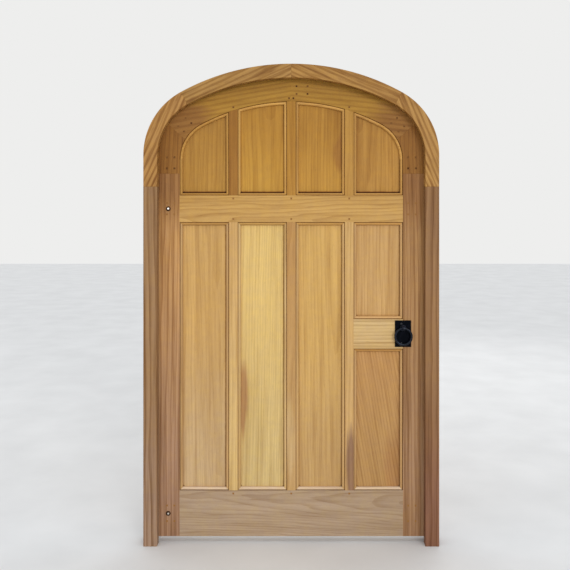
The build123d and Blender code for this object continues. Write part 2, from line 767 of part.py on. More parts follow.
for level, height in hinge_heights.items():
    with BuildPart() as hinge_band:
        eye_hinge(height)
        band_start = hinge_axis_x + 2 * hinge_eye_radius
        band_end = hinge_axis_x + band_length
        with BuildSketch(Plane.XZ.offset(-leaf_back)):
            with BuildLine():
                Line((band_start, height - hinge_width / 2), (band_start, height + hinge_width / 2))
                Line((band_start, height + hinge_width / 2), (band_end, height + band_tip_width / 2))
                ThreePointArc((band_end, height + band_tip_width / 2),
                              (band_end + band_tip_width / 2, height),
                              (band_end, height - band_tip_width / 2))
                Line((band_end, height - band_tip_width / 2), (band_start, height - hinge_width / 2))
            make_face()
        extrude(amount=-band_thickness)
        flat_bar([(bolt_place, height)], bolt_radius + bolt_fit, leaf_back, band_back, Mode.SUBTRACT)
        screw_holes(band_screw_places, leaf_back, band_back)
    save(f"hinge_band_{level}", hinge_band)

    boss_top = height - hinge_width / 2 - hinge_rest_gap
    with BuildPart() as hinge_hook:
        board(hook_plate_edge - hook_plate_width, hook_plate_edge, height - hook_foot_drop,
              height + hinge_width / 2, frame_back, frame_back + hook_plate_thickness)
        with BuildSketch(Plane.XY.offset(boss_top)):
            with BuildLine():
                Polyline((hook_plate_edge, frame_back),
                         (hinge_axis_x + hook_boss_half, hinge_axis_y - hook_boss_half),
                         (hinge_axis_x + hook_boss_half, hinge_axis_y + hook_boss_half),
                         (hinge_axis_x - hook_boss_half, hinge_axis_y + hook_boss_half),
                         (hook_plate_edge - hook_plate_width / 2, frame_back + hook_plate_thickness),
                         (hook_plate_edge - hook_plate_width / 2, frame_back), close=True)
            make_face()
        extrude(amount=-hook_boss_height)
        with BuildSketch(Plane.XY.offset(boss_top)):
            with Locations((hinge_axis_x, hinge_axis_y)):
                Circle(hinge_pin_radius)
        extrude(amount=hinge_rest_gap + hinge_width + pin_above_eye)
        screw_holes(hook_screw_places, frame_back, frame_back + hook_plate_thickness)
    save(f"hinge_hook_{level}", hinge_hook)

with BuildPart() as hook_screws:
    screws(hook_screw_places, frame_back + hook_plate_thickness, frame_back - screw_length)
save("hook_screws", hook_screws)

with BuildPart() as band_screws:
    screws(band_screw_places, band_back, leaf_back - screw_length)
save("band_screws", band_screws)

# Through bolts with domed heads outside and nuts on the bands inside
with BuildPart() as band_bolts:
    with BuildSketch(Plane.XZ.offset(-leaf_front)):
        with Locations(*bolt_places):
            RegularPolygon(bolt_head_radius, bolt_head_sides)
    extrude(amount=bolt_head_height, taper=bolt_head_taper)
    flat_bar(bolt_places, bolt_radius, leaf_front, bolt_tip)
save("band_bolts", band_bolts)

with BuildPart() as band_nuts:
    with BuildSketch(Plane.XZ.offset(-band_back)):
        with Locations(*bolt_places):
            RegularPolygon(nut_across_flats / 2, 6, major_radius=False)
    extrude(amount=-nut_height)
    flat_bar(bolt_places, bolt_radius + bolt_fit, band_back, band_back + nut_height, Mode.SUBTRACT)
save("band_nuts", band_nuts)

# Ring latch: plates on both faces, a spindle through the leaf, the drop ring in its eye
def spindle_neck(radius, near, far, mode=Mode.ADD):
    """The round neck of the spindle, or the hole that it turns in, in the front plate."""
    with BuildSketch(Plane.XZ.offset(-near)) as face:
        with Locations(*spindle_place):
            Circle(radius)
    extrude(face.sketch, amount=near - far, mode=mode)


with BuildPart() as front_plate:
    board(spindle_x - plate_width / 2, spindle_x + plate_width / 2, plate_z - plate_height / 2,
          plate_z + plate_height / 2, plate_face, leaf_front)
    spindle_neck(neck_radius + neck_fit, plate_face, leaf_front, Mode.SUBTRACT)
    screw_holes(plate_screw_places, plate_face, leaf_front)
save("front_plate", front_plate)

with BuildPart() as rear_plate:
    board(spindle_x - rear_plate_width / 2, spindle_x + rear_plate_width / 2,
          spindle_height - rear_plate_height / 2, spindle_height + rear_plate_height / 2,
          leaf_back, rear_plate_back)
    spindle_hole(leaf_back, rear_plate_back)
    screw_holes(rear_plate_screw_places, leaf_back, rear_plate_back)
save("rear_plate", rear_plate)

with BuildPart() as front_plate_screws:
    screws(plate_screw_places, plate_face, leaf_front + screw_length)
save("front_plate_screws", front_plate_screws)

with BuildPart() as rear_screws:
    screws(rear_plate_screw_places, rear_plate_back, leaf_back - screw_length)
    screws(guide_screw_places, leaf_back + guide_thickness, leaf_back - screw_length)
save("rear_screws", rear_screws)

eye_y = plate_face - eye_reach
eye_hole = ring_wire_radius + ring_play
eye_outer = eye_hole + eye_wall
with BuildPart() as latch_spindle:
    collar_back = plate_face - collar_gap
    flat_bar(spindle_place, collar_radius, collar_back - collar_thickness, collar_back, sides=collar_sides)
    spindle_neck(neck_radius, collar_back, leaf_front)
    board(spindle_x - square_side / 2, spindle_x + square_side / 2, spindle_height - square_side / 2,
          spindle_height + square_side / 2, leaf_front, bar_back)
    flat_bar(spindle_place, stud_radius, bar_back, bar_back + nut_height + bolt_end)
    with BuildSketch(Plane.YZ.offset(spindle_x - lug_width / 2)):
        with Locations((eye_y, spindle_height)):
            Circle(eye_outer)
            Rectangle(collar_back - collar_thickness - eye_y, 2 * eye_outer, align=(Align.MIN, Align.CENTER))
        with Locations((eye_y, spindle_height)):
            Circle(eye_hole, mode=Mode.SUBTRACT)
    extrude(amount=lug_width)
save("latch_spindle", latch_spindle)

with BuildPart() as spindle_nut:
    with BuildSketch(Plane.XZ.offset(-bar_back)):
        with Locations((spindle_x, spindle_height)):
            RegularPolygon(nut_across_flats / 2, 6, major_radius=False)
    extrude(amount=-nut_height)
    flat_bar(spindle_place, stud_radius + bolt_fit, bar_back, bar_back + nut_height, Mode.SUBTRACT)
save("spindle_nut", spindle_nut)

ring_corners = [360 / ring_sides * (i + 0.5) for i in range(ring_sides)]
ring_corner_radius = ring_radius / cos(radians(180 / ring_sides))
with BuildPart() as latch_ring:
    with BuildLine(Plane((spindle_x, eye_y, spindle_height - ring_radius), z_dir=(0, -1, 0))):
        Polyline((ring_radius, 0), *[PolarLine((0, 0), ring_corner_radius, turn, mode=Mode.PRIVATE) @ 1
                                     for turn in ring_corners], (ring_radius, 0))
    with BuildSketch(Plane.XY.offset(spindle_height - ring_radius)):
        with Locations((spindle_x + ring_radius, eye_y)):
            RegularPolygon(ring_wire_radius, wire_sides)
    sweep(transition=Transition.RIGHT)
save("latch_ring", latch_ring)

# Latch bar on the spindle's square end, with its guide on the stile and its catch on the jamb
with BuildPart() as latch_bar:
    with BuildSketch(Plane.XZ.offset(-bar_front)):
        with Locations((spindle_x, spindle_height)):
            Rectangle(bar_reach - bar_half, bar_height, align=(Align.MIN, Align.CENTER))
            Rectangle(bar_tail, bar_height, align=(Align.MAX, Align.CENTER))
        with Locations((spindle_x + bar_reach - bar_half, spindle_height)):
            Circle(bar_half)
        with Locations((spindle_x, spindle_height)):
            Rectangle(square_side + 2 * square_fit, square_side + 2 * square_fit, mode=Mode.SUBTRACT)
    extrude(amount=-bar_thickness)
save("latch_bar", latch_bar)

guide_back = bar_back + guide_play
foot_back = leaf_back + guide_thickness
with BuildPart() as bar_guide:
    with BuildSketch(Plane.YZ.offset(spindle_x + guide_place - guide_width / 2)):
        with BuildLine():
            Polyline((leaf_back, guide_low), (guide_back, guide_low), (guide_back, guide_high),
                     (leaf_back, guide_high), (leaf_back, guide_high + guide_foot),
                     (foot_back, guide_high + guide_foot), (foot_back, guide_high + guide_thickness),
                     (guide_back + guide_thickness, guide_high + guide_thickness),
                     (guide_back + guide_thickness, guide_low - guide_thickness),
                     (foot_back, guide_low - guide_thickness), (foot_back, guide_low - guide_foot),
                     (leaf_back, guide_low - guide_foot), close=True)
        make_face()
    extrude(amount=guide_width)
    screw_holes(guide_screw_places, leaf_back, foot_back)
save("bar_guide", bar_guide)

catch_left = spindle_x + catch_place - catch_width / 2
catch_back = frame_back + catch_plate_thickness
latched_low = spindle_height - bar_reach * sin(drop) - bar_half - catch_play
lip_top = spindle_height - bar_half - catch_play
lip_front = bar_back + catch_play
lip_back = lip_front + catch_lip_thickness
catch_foot = spindle_height - catch_plate_height / 2
with BuildPart() as latch_catch:
    with BuildSketch(Plane.YZ.offset(catch_left)):
        with BuildLine():
            Polyline((frame_back, catch_foot), (frame_back, catch_foot + catch_plate_height),
                     (catch_back, catch_foot + catch_plate_height), (catch_back, latched_low),
                     (lip_front, latched_low), (lip_front, lip_top),
                     (lip_back, lip_top - catch_lip_thickness),
                     (lip_back, latched_low - catch_arm_thickness),
                     (catch_back, latched_low - 2 * catch_arm_thickness), (catch_back, catch_foot),
                     close=True)
        make_face()
    extrude(amount=catch_width)
    screw_holes(catch_screw_places, frame_back, catch_back)
save("latch_catch", latch_catch)

with BuildPart() as catch_screws:
    screws(catch_screw_places, catch_back, frame_back - screw_length)
save("catch_screws", catch_screws)
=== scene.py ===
"""Looks of an arched garden gate of oiled hardwood, hung in its own frame, with a black ring latch."""
import json
import math

import bpy
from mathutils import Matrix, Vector

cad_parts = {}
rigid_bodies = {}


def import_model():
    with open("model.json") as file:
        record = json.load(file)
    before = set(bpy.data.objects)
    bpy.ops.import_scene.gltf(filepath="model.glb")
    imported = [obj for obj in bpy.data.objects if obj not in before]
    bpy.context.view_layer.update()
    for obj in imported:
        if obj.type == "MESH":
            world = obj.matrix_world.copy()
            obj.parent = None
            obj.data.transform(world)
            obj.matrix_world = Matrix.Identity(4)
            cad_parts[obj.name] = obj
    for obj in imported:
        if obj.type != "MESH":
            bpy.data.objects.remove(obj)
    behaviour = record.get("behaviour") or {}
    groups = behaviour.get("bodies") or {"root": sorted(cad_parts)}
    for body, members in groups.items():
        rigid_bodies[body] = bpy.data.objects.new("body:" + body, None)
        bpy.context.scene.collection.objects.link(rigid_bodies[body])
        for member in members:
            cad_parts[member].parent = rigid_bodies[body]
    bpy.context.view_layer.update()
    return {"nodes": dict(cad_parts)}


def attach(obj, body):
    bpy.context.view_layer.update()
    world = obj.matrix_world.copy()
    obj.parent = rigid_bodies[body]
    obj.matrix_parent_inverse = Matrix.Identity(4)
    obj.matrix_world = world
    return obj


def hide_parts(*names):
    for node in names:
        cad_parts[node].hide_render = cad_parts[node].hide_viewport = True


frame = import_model()


# Jambs. Two upright posts of a reddish hardwood, planed, oiled and rebated for the leaf. Their long straight
# grain shows as strong upright stripes, and the foot has gone greyer than the head.
def paint(red, green, blue):
    """A colour as a painter's card gives it, 0 to 255, for a shader."""
    card = [part / 255 for part in (red, green, blue)]
    light = [part / 12.92 if part < 0.04045 else ((part + 0.055) / 1.055) ** 2.4 for part in card]
    return (light[0], light[1], light[2], 1.0)


def put(material, kind, sockets, **settings):
    """One shader node of that kind, with its settings, and its sockets set or joined by name or number."""
    node = material.node_tree.nodes.new("ShaderNode" + kind)
    for name, value in settings.items():
        setattr(node, name, value)
    for name, value in sockets.items():
        if isinstance(value, bpy.types.NodeSocket):
            material.node_tree.links.new(value, node.inputs[name])
        else:
            node.inputs[name].default_value = value
    return node


def band(material, factor, stops):
    """A colour for each value of factor, running from stop to stop."""
    node = put(material, "ValToRGB", {"Fac": factor})
    points = node.color_ramp.elements
    while len(points) < len(stops):
        points.new(1.0)
    for point, (place, colour) in zip(points, stops):
        point.position = place
        point.color = colour if len(colour) == 4 else colour + (1.0,)
    return node.outputs["Color"]


def blend(material, way, share, under, over):
    """Two colours laid over each other, as a painter's glaze."""
    node = put(material, "Mix", {0: share, 6: under, 7: over}, data_type="RGBA", blend_type=way)
    return node.outputs[2]


def new_finish(name):
    """An empty material and its shader."""
    material = bpy.data.materials.new(name)
    material.use_nodes = True
    return material, material.node_tree.nodes["Principled BSDF"]


def timber(name, foot, head, heights, grain, heart, ring, mark, lean=1.5, streaks=0.35, wander=7.0,
           years_shape="SAW", patch=None):
    """Planed and oiled hardwood. foot and head are its tones at the two heights, grain its angle from
    upright, heart the middle of the tree, ring the width of a year, and mark how plainly the years show. lean
    tilts the board in its log, streaks is how plainly fine stripes show, wander how far the years wave, and
    patch a stain, given by its middle, its spread and its tone."""
    material, shader = new_finish(name)
    place = put(material, "TexCoord", {}).outputs["Object"]
    turn = (math.radians(lean), math.radians(grain), 0)
    year_stretch = (1, 1, 7)
    fibre_stretch = (1, 1, 45)
    wave_at_scale_one = 0.314
    log = put(material, "Mapping", {"Vector": place, "Location": heart, "Rotation": turn,
                                    "Scale": year_stretch}, vector_type="TEXTURE").outputs[0]
    fibre_log = put(material, "Mapping", {"Vector": place, "Location": heart, "Rotation": turn,
                                          "Scale": fibre_stretch}, vector_type="TEXTURE").outputs[0]
    years = put(material, "TexWave", {"Vector": log, "Scale": wave_at_scale_one / ring, "Distortion": wander,
                                      "Detail": 3.0, "Detail Scale": 0.3, "Detail Roughness": 0.55},
                wave_type="RINGS", rings_direction="Z", wave_profile=years_shape).outputs["Fac"]
    fibres = put(material, "TexNoise", {"Vector": fibre_log, "Scale": 420.0, "Detail": 4.0,
                                        "Roughness": 0.6}).outputs["Fac"]
    stripes = put(material, "TexNoise", {"Vector": fibre_log, "Scale": 75.0, "Detail": 3.0,
                                         "Roughness": 0.55}).outputs["Fac"]
    clouds = put(material, "TexNoise", {"Vector": log, "Scale": 11.0, "Detail": 2.0}).outputs["Fac"]
    pores = put(material, "TexNoise", {"Vector": fibre_log, "Scale": 1300.0, "Detail": 2.0}).outputs["Fac"]
    blotches = put(material, "TexNoise", {"Vector": place, "Scale": 28.0, "Detail": 5.0,
                                          "Roughness": 0.65}).outputs["Fac"]
    level = put(material, "SeparateXYZ", {"Vector": place}).outputs["Z"]
    rise = put(material, "MapRange", {"Value": level, "From Min": heights[0], "From Max": heights[1]},
               interpolation_type="SMOOTHSTEP").outputs["Result"]
    colour = blend(material, "MIX", rise, paint(*foot), paint(*head))
    if patch:
        middle, spread, stain = patch
        spot = put(material, "Mapping", {"Vector": place, "Location": middle, "Scale": spread},
                   vector_type="TEXTURE").outputs[0]
        round_spot = put(material, "TexGradient", {"Vector": spot}, gradient_type="SPHERICAL").outputs["Fac"]
        ragged = put(material, "Math", {0: stripes, 1: 0.55}, operation="SUBTRACT").outputs[0]
        edge = put(material, "Math", {0: ragged, 1: round_spot}, operation="ADD").outputs[0]
        share = band(material, edge, [(0.12, (0, 0, 0)), (0.45, (0.85, 0.85, 0.85))])
        colour = blend(material, "MIX", share, colour, paint(*stain))
    tints = (
        (mark, years, [(0.0, (1.08, 1.08, 1.09)), (0.55, (1, 1, 1)), (0.9, (0.6, 0.48, 0.32)),
                       (1.0, (0.71, 0.61, 0.46))]),
        (streaks, stripes, [(0.32, (0.65, 0.54, 0.4)), (0.5, (1, 1, 1)), (0.68, (1.16, 1.18, 1.2))]),
        (0.3, fibres, [(0.3, (0.72, 0.63, 0.48)), (0.48, (1, 1, 1)), (0.7, (1.1, 1.1, 1.1))]),
        (0.7, clouds, [(0.3, (0.87, 0.82, 0.74)), (0.5, (1, 1, 1)), (0.7, (1.1, 1.1, 1.08))]),
        (0.9, blotches, [(0.36, (0.97, 0.975, 1.03)), (0.5, (1, 1, 1)), (0.64, (1.03, 1.03, 0.95))]),
        (0.5, pores, [(0.27, (0.5, 0.42, 0.34)), (0.36, (1, 1, 1))]),
    )
    for share, pattern, stops in tints:
        tint = band(material, pattern, stops)
        colour = blend(material, "MULTIPLY", share, colour, tint)
    relief = put(material, "Bump", {"Height": fibres, "Strength": 0.35, "Distance": 0.0004})
    deeper = put(material, "Bump", {"Height": pores, "Strength": 0.3, "Distance": 0.0002,
                                    "Normal": relief.outputs["Normal"]})
    sheen = put(material, "MapRange", {"Value": stripes, "To Min": 0.6, "To Max": 0.46}).outputs["Result"]
    links = material.node_tree.links
    links.new(colour, shader.inputs["Base Color"])
    links.new(sheen, shader.inputs["Roughness"])
    links.new(deeper.outputs["Normal"], shader.inputs["Normal"])
    shader.inputs["Specular IOR Level"].default_value = 0.18
    return material


def finish_in(node, material):
    """The CAD node takes that material in every slot."""
    piece = frame["nodes"][node]
    for place in piece.material_slots:
        place.material = material
    return piece


def ease(piece, width=0.0009):
    """Sharp arrises taken off, as with a few strokes of a block plane or a file."""
    weld = piece.modifiers.new("Weld", "WELD")
    weld.merge_threshold = 0.00002
    arris = piece.modifiers.new("Arris", "BEVEL")
    arris.width = width
    arris.segments = 2
    arris.limit_method = "ANGLE"
    arris.angle_limit = math.radians(40)


jamb_foot = {"jamb_left": (156, 126, 102), "jamb_right": (130, 90, 68)}
jamb_head = {"jamb_left": (149, 114, 78), "jamb_right": (141, 104, 68)}
for jamb, side in {"jamb_left": -1, "jamb_right": 1}.items():
    heart = (side * 0.5, 0.11, 0.3 + side * 0.2)
    wood = timber(jamb, jamb_foot[jamb], jamb_head[jamb], (0.1, 0.75), 0, heart, 0.011, 0.7, lean=0.4,
                  streaks=1.0)
    ease(finish_in(jamb, wood))

# Arch of the frame. Two steep shoulders and two flatter lengths that meet at the crown, sawn to the curve
# from straight boards of a golden, boldly striped wood, so the grain runs across each curve on a slant.
arch_tones = {"frame_shoulder_left": (170, 125, 68), "frame_shoulder_right": (171, 128, 70),
              "frame_head_left": (164, 123, 66), "frame_head_right": (166, 123, 64)}
arch_grain = {"frame_shoulder_left": 24, "frame_shoulder_right": -24,
              "frame_head_left": 66, "frame_head_right": -68}
for number, (piece, tone) in enumerate(arch_tones.items()):
    heart = (0.1 * number, 0.06, 1.2 + 0.13 * number)
    wood = timber(piece, tone, tone, (1.5, 1.9), arch_grain[piece], heart, 0.019, 0.75, lean=5.0, streaks=1.0,
                  wander=9.0, years_shape="SIN")
    ease(finish_in(piece, wood))

# Stiles. The leaf's two long uprights, mortised for the rails, of a reddish brown wood with fine straight
# stripes. They are darker and warmer towards the head.
hinge_side_shade = ((-0.515, -0.02, 1.62), (0.4, 0.3, 0.38), (142, 98, 54))
wood = timber("hinge_stile", (162, 125, 97), (188, 142, 90), (0.2, 1.3), 0, (-0.62, 0.13, 0.1), 0.012, 0.6,
              lean=0.4, streaks=0.9, patch=hinge_side_shade)
ease(finish_in("hinge_stile", wood))
latch_side_shade = ((0.515, -0.02, 1.62), (0.4, 0.3, 0.38), (140, 96, 54))
wood = timber("latch_stile", (163, 126, 93), (165, 124, 79), (0.2, 1.2), 0, (0.64, 0.12, 0.5), 0.011, 0.55,
              lean=0.5, streaks=0.8, patch=latch_side_shade)
ease(finish_in("latch_stile", wood))

# Arch of the leaf. Brown shoulders with upright grain carry two level-grained lengths that meet at the crown.
# Their years run in long curves, because the boards were cut well out from the heart.
for piece, side in {"leaf_shoulder_left": -1, "leaf_shoulder_right": 1}.items():
    heart = (side * 0.4, 0.1, 1.1)
    wood = timber(piece, (141, 95, 39), (134, 88, 34), (1.55, 1.8), side * -3, heart, 0.012, 0.55, lean=1.0,
                  streaks=0.7)
    ease(finish_in(piece, wood))
for piece, side in {"leaf_head_left": -1, "leaf_head_right": 1}.items():
    heart = (0.2 * side, 0.09, 1.66)
    shade_at_joint = ((side * 0.45, -0.02, 1.7), (0.2, 0.2, 0.2), (142, 96, 46))
    wood = timber(piece, (170, 125, 48), (162, 119, 44), (1.7, 1.95), 90 + side * 8, heart, 0.016, 0.4,
                  lean=3.0, streaks=0.4, wander=7.0, years_shape="SIN", patch=shade_at_joint)
    ease(finish_in(piece, wood))

# Rails. Three level boards tenoned into the stiles or the muntins: a golden frieze rail, a greyer and deeper
# bottom rail, and a short pale lock rail that the plate of the latch overlaps.
wood = timber("frieze_rail", (195, 153, 89), (192, 149, 83), (1.33, 1.46), 90.6, (0.1, 0.07, 1.33), 0.01, 0.4,
              lean=2.2, streaks=0.35, wander=16.0)
ease(finish_in("frieze_rail", wood))
wood = timber("bottom_rail", (169, 144, 117), (173, 148, 121), (0.03, 0.2), 91, (-0.4, 0.07, 0.18), 0.009,
              0.35, lean=1.9, streaks=0.35, wander=16.0)
ease(finish_in("bottom_rail", wood))
wood = timber("lock_rail", (200, 166, 113), (201, 169, 117), (0.8, 0.94), 90, (0.3, 0.09, 1.05), 0.013, 0.35,
              lean=0.6, streaks=0.6)
ease(finish_in("lock_rail", wood))

# Muntins. Narrow uprights between the panels, stub-tenoned into the rails and the arch. The lower ones are
# pale, with a purple brown patch of heartwood near the foot of one, and the upper ones are browner.
muntins = {
    "lower_muntin_left": ((207, 173, 114), (201, 160, 101), None),
    "lower_muntin_centre": ((191, 152, 99), (181, 136, 80),
                            ((-0.006, -0.02, 0.45), (0.03, 0.1, 0.22), (198, 164, 114))),
    "lower_muntin_right": ((200, 160, 105), (202, 162, 102),
                           ((0.251, -0.02, 0.31), (0.036, 0.1, 0.23), (133, 98, 77))),
    "upper_muntin_left": ((161, 112, 48), (154, 105, 40), None),
    "upper_muntin_centre": ((175, 126, 52), (163, 115, 43), None),
    "upper_muntin_right": ((184, 138, 68), (175, 129, 58), None),
}
for number, (piece, (low, high, patch)) in enumerate(muntins.items()):
    heights = (0.3, 1.3) if piece.startswith("lower") else (1.46, 1.82)
    heart = (0.06 * number - 0.1, 0.12, 0.2 * number)
    wood = timber(piece, low, high, heights, 0.5 - 0.2 * number, heart, 0.012, 0.25, lean=0.7, streaks=0.4,
                  patch=patch)
    ease(finish_in(piece, wood))



# Panels. Nine flat boards of oiled wood, each loose in the grooves round it. The tall ones are pale gold, the
# one under the lock rail has slanting years, and those in the arch are darker. Their edges beside the beads
# carry painted shade.
def paint_bead_shade(material, opening, shares):
    """Painted shade beside the bead: the panel goes dark by a share of its own at the left, the right and the
    foot.
    """
    left, right, foot = opening
    shader = material.node_tree.nodes["Principled BSDF"]
    colour = shader.inputs["Base Color"].links[0].from_socket
    place = put(material, "TexCoord", {}).outputs["Object"]
    part = put(material, "SeparateXYZ", {"Vector": place})
    ragged = put(material, "TexNoise", {"Vector": place, "Scale": 60.0, "Detail": 3.0}).outputs["Fac"]
    edge_wobble = put(material, "Math", {0: ragged, 1: 0.004}, operation="MULTIPLY").outputs[0]
    ways = ((part.outputs["X"], left), (right, part.outputs["X"]), (part.outputs["Z"], foot))
    for (far, near), share in zip(ways, shares):
        inward = put(material, "Math", {0: far, 1: near}, operation="SUBTRACT").outputs[0]
        wavy = put(material, "Math", {0: inward, 1: edge_wobble}, operation="SUBTRACT").outputs[0]
        clean = put(material, "MapRange", {"Value": wavy, "From Min": -0.0005, "From Max": 0.005})
        shade = band(material, clean.outputs["Result"], [(0.0, (0.4, 0.27, 0.14)), (0.35, (0.7, 0.57, 0.4)),
                                                         (1.0, (1, 1, 1))])
        colour = blend(material, "MULTIPLY", share, colour, shade)
    # Painted shade in the two lower corners of the opening, where the beads meet.
    for corner in (left, right):
        spot = put(material, "Mapping", {"Vector": place, "Location": (corner, -0.006, foot),
                                         "Scale": (0.011, 0.05, 0.009)}, vector_type="TEXTURE").outputs[0]
        corner_shade = put(material, "TexGradient", {"Vector": spot}, gradient_type="SPHERICAL").outputs["Fac"]
        shade = band(material, corner_shade, [(0.2, (1, 1, 1)), (0.7, (0.42, 0.31, 0.2))])
        colour = blend(material, "MULTIPLY", 0.9, colour, shade)
    material.node_tree.links.new(colour, shader.inputs["Base Color"])


bead_width = 0.0125
columns = ((-0.467, -0.2605), (-0.2245, -0.018), (0.018, 0.2245), (0.2605, 0.467))
row_foot = {"upper": 1.4507, "lower": 0.2165, "above": 0.9326, "below": 0.2165}
# Painted shade beside the beads: its share at the left, the right and the foot of each panel.
panel_bead_shade = {
    "panel_upper_1": (0.2, 0.55, 1.0), "panel_upper_2": (0.2, 0.5, 1.0), "panel_upper_3": (0.2, 0.35, 1.0),
    "panel_upper_4": (0.2, 0.35, 1.0), "panel_lower_1": (0.1, 0.95, 0.05), "panel_lower_2": (0.1, 0.75, 0.05),
    "panel_lower_3": (0.1, 0.45, 0.05), "panel_above_lock_rail": (0.1, 0.35, 0.3),
    "panel_below_lock_rail": (0.1, 0.15, 0.05),
}
panels = {
    "panel_upper_1": ((174, 128, 57), (163, 117, 49), 0, (-0.45, 0.10, 1.2), 0.013, 0.25, 1.6, None),
    "panel_upper_2": ((187, 139, 57), (174, 125, 48), 0, (-0.08, 0.12, 1.0), 0.011, 0.22, 1.2, None),
    "panel_upper_3": ((185, 136, 57), (170, 122, 48), 1, (0.46, 0.12, 1.5), 0.012, 0.26, 0.9,
                      ((0.205, -0.01, 1.63), (0.05, 0.1, 0.1), (158, 108, 46))),
    "panel_upper_4": ((179, 131, 62), (168, 121, 53), -1, (0.30, 0.10, 1.5), 0.011, 0.28, 1.8, None),
    "panel_lower_1": ((197, 165, 121), (198, 156, 94), 0, (-0.30, 0.13, 0.4), 0.009, 0.2, 0.8, None),
    "panel_lower_2": ((205, 177, 120), (215, 181, 113), 0.5, (-0.26, 0.11, 0.9), 0.008, 0.25, 0.7,
                      ((-0.204, -0.01, 0.6), (0.034, 0.1, 0.2), (176, 130, 86))),
    "panel_lower_3": ((192, 154, 100), (203, 161, 93), 0, (0.20, 0.12, 0.2), 0.009, 0.22, 0.9, None),
    "panel_above_lock_rail": ((200, 158, 104), (199, 157, 100), 1, (0.44, 0.10, 1.1), 0.009, 0.22, 0.8,
                              None),
    "panel_below_lock_rail": ((181, 140, 87), (190, 142, 87), -9, (0.62, 0.09, 0.1), 0.011, 0.36, 1.2,
                              ((0.47, -0.01, 0.3), (0.11, 0.1, 0.26), (168, 122, 74))),
}
for piece, (low, high, slant, heart, ring, mark, lean, patch) in panels.items():
    heights = (1.46, 1.8) if "upper" in piece else (0.25, 1.0)
    wood = timber(piece, low, high, heights, slant, heart, ring, mark, lean=lean, streaks=0.4, patch=patch)
    row = piece.split("_")[1]
    column = int(piece[-1]) - 1 if piece[-1].isdigit() else 3
    left, right = columns[column]
    opening = (left + bead_width, right - bead_width, row_foot[row] + bead_width)
    paint_bead_shade(wood, opening, panel_bead_shade[piece])
    finish_in(piece, wood)


# Beads. A half round with a narrow sunk line beside it, planted round each panel in four mitred lengths, each
# with its grain along it. Shade is painted into the sunk line and, on the feet of the arched panels, on the
# wall towards the panel.
def merged_copy(node, name):
    """A copy of a CAD node as one joined mesh, in the CAD node's place, ready to be worked on."""
    bpy.ops.object.select_all(action="DESELECT")
    piece = frame["nodes"][node].copy()
    piece.data = piece.data.copy()
    piece.name = name
    bpy.context.collection.objects.link(piece)
    piece.select_set(True)
    bpy.context.view_layer.objects.active = piece
    bpy.ops.object.parent_clear(type="CLEAR_KEEP_TRANSFORM")
    bpy.ops.object.mode_set(mode="EDIT")
    bpy.ops.mesh.select_all(action="SELECT")
    bpy.ops.mesh.customdata_custom_splitnormals_clear()
    bpy.ops.mesh.remove_doubles(threshold=0.00002)
    bpy.ops.mesh.dissolve_limited(angle_limit=math.radians(1))
    bpy.ops.mesh.select_all(action="DESELECT")
    bpy.ops.object.mode_set(mode="OBJECT")
    return piece


def round_edges(piece, wanted, width, steps):
    """The edges that wanted(mesh, first end, second end, faces beside it) picks are rounded with a bevel."""
    mesh = piece.data
    beside = {}
    for face in mesh.polygons:
        for key in face.edge_keys:
            beside.setdefault(key, []).append(face)
    picked = []
    for edge in mesh.edges:
        first, second = (mesh.vertices[end].co for end in edge.vertices)
        faces = beside.get(edge.key, [])
        if len(faces) == 2 and wanted(mesh, first, second, faces):
            picked.append(edge.index)
    bpy.ops.object.mode_set(mode="EDIT")
    bpy.ops.mesh.select_mode(type="EDGE")
    bpy.ops.mesh.select_all(action="DESELECT")
    bpy.ops.object.mode_set(mode="OBJECT")
    for number in picked:
        piece.data.edges[number].select = True
    bpy.ops.object.mode_set(mode="EDIT")
    bpy.ops.mesh.bevel(offset=width, segments=steps, profile=0.5, affect="EDGES", clamp_overlap=True)
    bpy.ops.mesh.select_all(action="DESELECT")
    bpy.ops.object.mode_set(mode="OBJECT")


bead_top = -0.019
quirk_floor = -0.015
back_rounding = 0.0030
shoulder_rounding = 0.0022


def painted_shade_finish(name, low, high):
    """Painted shade for a groove: a dark, mottled tone between low and high."""
    material, shader = new_finish(name)
    place = put(material, "TexCoord", {}).outputs["Object"]
    mottle = put(material, "TexNoise", {"Vector": place, "Scale": 120.0, "Detail": 4.0}).outputs["Fac"]
    tone = band(material, mottle, [(0.35, paint(*low)), (0.65, paint(*high))])
    material.node_tree.links.new(tone, shader.inputs["Base Color"])
    shader.inputs["Roughness"].default_value = 0.7
    shader.inputs["Specular IOR Level"].default_value = 0.08
    return material


# Painted shade: the groove shade, and a deeper one for the feet of the arched panels.
painted_groove_shade = painted_shade_finish("painted_groove_shade", (104, 60, 22), (142, 94, 44))
deep_painted_shade = painted_shade_finish("deep_painted_shade", (48, 24, 6), (78, 44, 14))


def bead_shoulder(mesh, first, second, faces):
    """The two long edges of the bead's slope, which lie level with the panel."""
    turn = faces[0].normal.angle(faces[1].normal)
    return abs(first.y - second.y) < 0.0001 and math.radians(35) < turn < math.radians(52)


def bead_back(mesh, first, second, faces):
    """The long edge between the bead's top and the sunk line."""
    if abs(first.y - bead_top) > 0.0001 or abs(second.y - bead_top) > 0.0001:
        return False
    side = [face for face in faces if abs(face.normal.y) < 0.1]
    return len(side) == 1 and all(mesh.vertices[corner].co.y < quirk_floor + 0.0002
                                  for corner in side[0].vertices)


